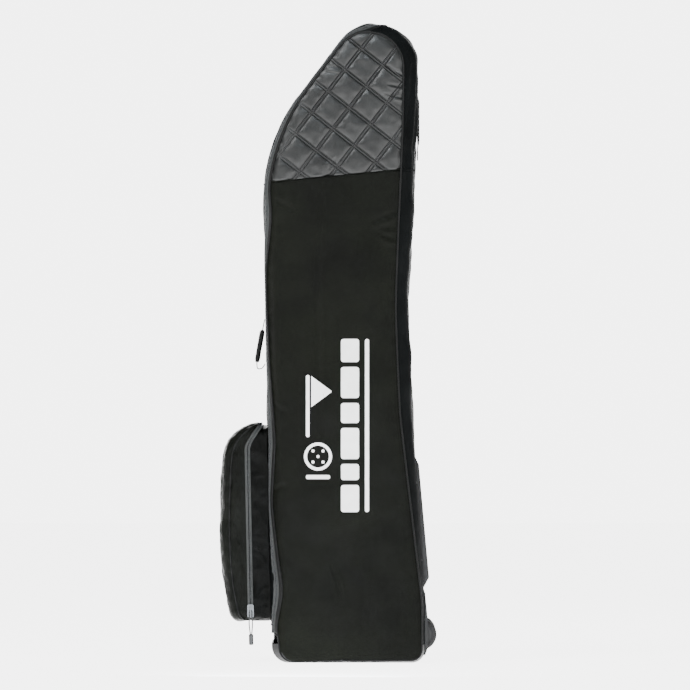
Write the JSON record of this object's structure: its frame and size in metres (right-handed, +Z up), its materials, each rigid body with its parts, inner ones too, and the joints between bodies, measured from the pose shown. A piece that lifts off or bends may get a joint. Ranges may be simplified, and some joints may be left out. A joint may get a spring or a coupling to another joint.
{
  "type": "golf travel case",
  "caption": "Tall wheeled soft case for carrying a golf bag, with a full-length front zip, a quilted hood, a shoe pocket and handles.",
  "frame": {"origin": "middle of the underside of the flat base", "axes": "+Z up the case, -Y to the front with the shoe pocket, +Y to the back with the wheels, +X to the case's own left as it faces forward"},
  "size_m": [0.3108, 0.4293, 1.2816],
  "materials": {
    "side_panels": "black woven nylon, satin",
    "band": "black woven nylon, satin",
    "quilt": "quilted black nylon, slightly glossy",
    "padding": "grey foam",
    "piping": "black piping tape",
    "base": "moulded black polypropylene, fine grain",
    "board": "black polyethylene board",
    "rail": "black moulded plastic, fine grain",
    "hardware": "zinc-plated steel",
    "housing": "dark grey moulded plastic",
    "tyre": "black polyurethane tread",
    "hub": "grey moulded plastic",
    "bearing": "polished bearing steel",
    "zip_tape": "grey woven zip tape",
    "zip_coil": "dark nylon zip coil",
    "zip_metal": "black coated zinc",
    "pocket": "black woven nylon, satin",
    "cord": "grey braided pull cord",
    "moulded_end": "black moulded cord end",
    "webbing": "black ribbed nylon webbing",
    "grip": "padded nylon sleeve",
    "buckle": "black acetal"
  },
  "bodies": {
    "case": {"side_panel_right": "side_panels", "side_panel_left": "side_panels", "hood_side_right": "quilt", "hood_side_left": "quilt", "hood_padding_right": "padding", "hood_padding_left": "padding", "piping_right": "piping", "piping_left": "piping", "back_panel": "band", "hood_back_panel": "band", "front_skirt": "band", "base_shell": "base", "base_board": "board", "back_board": "board", "skid_rail_left": "rail", "skid_rail_centre": "rail", "skid_rail_right": "rail", "skid_rail_screws": "hardware", "skid_rail_nuts": "hardware", "housing_rivets": "hardware", "wheel_housing_left": "housing", "wheel_housing_right": "housing", "wheel_axle_left": "hardware", "wheel_axle_right": "hardware", "wheel_spacers": "hardware", "main_zip_tape_case": "zip_tape", "main_zip_coil_case": "zip_coil", "haul_handle_webbing": "webbing", "haul_handle_grip": "grip", "strap_webbing": "webbing", "lower_buckle_socket": "buckle", "upper_buckle_socket": "buckle"},
    "front_door": {"front_panel": "band", "hood_front_panel": "band", "main_zip_tape_door": "zip_tape", "main_zip_coil_door": "zip_coil", "pocket_gusset": "pocket", "pocket_zip_tape_gusset": "zip_tape", "pocket_zip_coil_gusset": "zip_coil", "carry_handle_anchors": "webbing"},
    "pocket_door": {"pocket_flap": "pocket", "pocket_zip_tape_flap": "zip_tape", "pocket_zip_coil_flap": "zip_coil"},
    "main_slider": {"main_zip_slider": "zip_metal"},
    "main_pull": {"main_zip_pull": "zip_metal"},
    "pocket_slider": {"pocket_zip_slider": "zip_metal"},
    "pocket_pull": {"pocket_pull_cord": "cord", "pocket_pull_tip": "moulded_end"},
    "carry_handle": {"carry_handle_webbing": "webbing", "carry_handle_grip": "grip"},
    "wheel_left": {"wheel_tyre_left": "tyre", "wheel_hub_left": "hub", "wheel_bearings_left": "bearing"},
    "wheel_right": {"wheel_tyre_right": "tyre", "wheel_hub_right": "hub", "wheel_bearings_right": "bearing"},
    "lower_buckle": {"lower_buckle_plug": "buckle", "lower_plug_webbing": "webbing"},
    "upper_buckle": {"upper_buckle_plug": "buckle", "upper_plug_webbing": "webbing"}
  },
  "joints": [
    {"name": "front_door_fold", "type": "hinge", "parent": "case", "child": "front_door", "pos_m": [0, -0.15539, 0.076], "axis": [1, 0, 0], "range_deg": [0, 45]},
    {"name": "pocket_fold", "type": "hinge", "parent": "front_door", "child": "pocket_door", "pos_m": [0, -0.196, 0.084], "axis": [1, 0, 0], "range_deg": [0, 45]},
    {"name": "main_slider_run", "type": "slide", "parent": "case", "child": "main_slider", "axis": [0, -0.0201, 0.9998], "range_m": [0, 0.8]},
    {"name": "main_pull_swing", "type": "hinge", "parent": "main_slider", "child": "main_pull", "pos_m": [-0.14615, -0.1493, 0.0579], "axis": [-0.7091, 0.7051, 0], "range_deg": [0, 150]},
    {"name": "pocket_slider_run", "type": "slide", "parent": "front_door", "child": "pocket_slider", "axis": [0, -0.0204, 0.9998], "range_m": [0, 0.305]},
    {"name": "pocket_pull_swing", "type": "hinge", "parent": "pocket_slider", "child": "pocket_pull", "pos_m": [0.1242, -0.1972, 0.103], "axis": [1, 0, 0], "range_deg": [-60, 26]},
    {"name": "carry_handle_swing", "type": "hinge", "parent": "front_door", "child": "carry_handle", "pos_m": [0, -0.16891, 0.598], "axis": [0, -0.0116, 0.9999], "range_deg": [-18, 18]},
    {"name": "wheel_left_spin", "type": "hinge", "parent": "case", "child": "wheel_left", "pos_m": [-0.098, 0.1436, 0.056], "axis": [1, 0, 0], "continuous": true},
    {"name": "wheel_right_spin", "type": "hinge", "parent": "case", "child": "wheel_right", "pos_m": [0.098, 0.1436, 0.056], "axis": [1, 0, 0], "continuous": true},
    {"name": "lower_buckle_slide", "type": "slide", "parent": "case", "child": "lower_buckle", "axis": [1, 0, 0], "range_m": [0, 0.022]},
    {"name": "upper_buckle_slide", "type": "slide", "parent": "case", "child": "upper_buckle", "axis": [1, 0, 0], "range_m": [0, 0.022]}
  ]
}
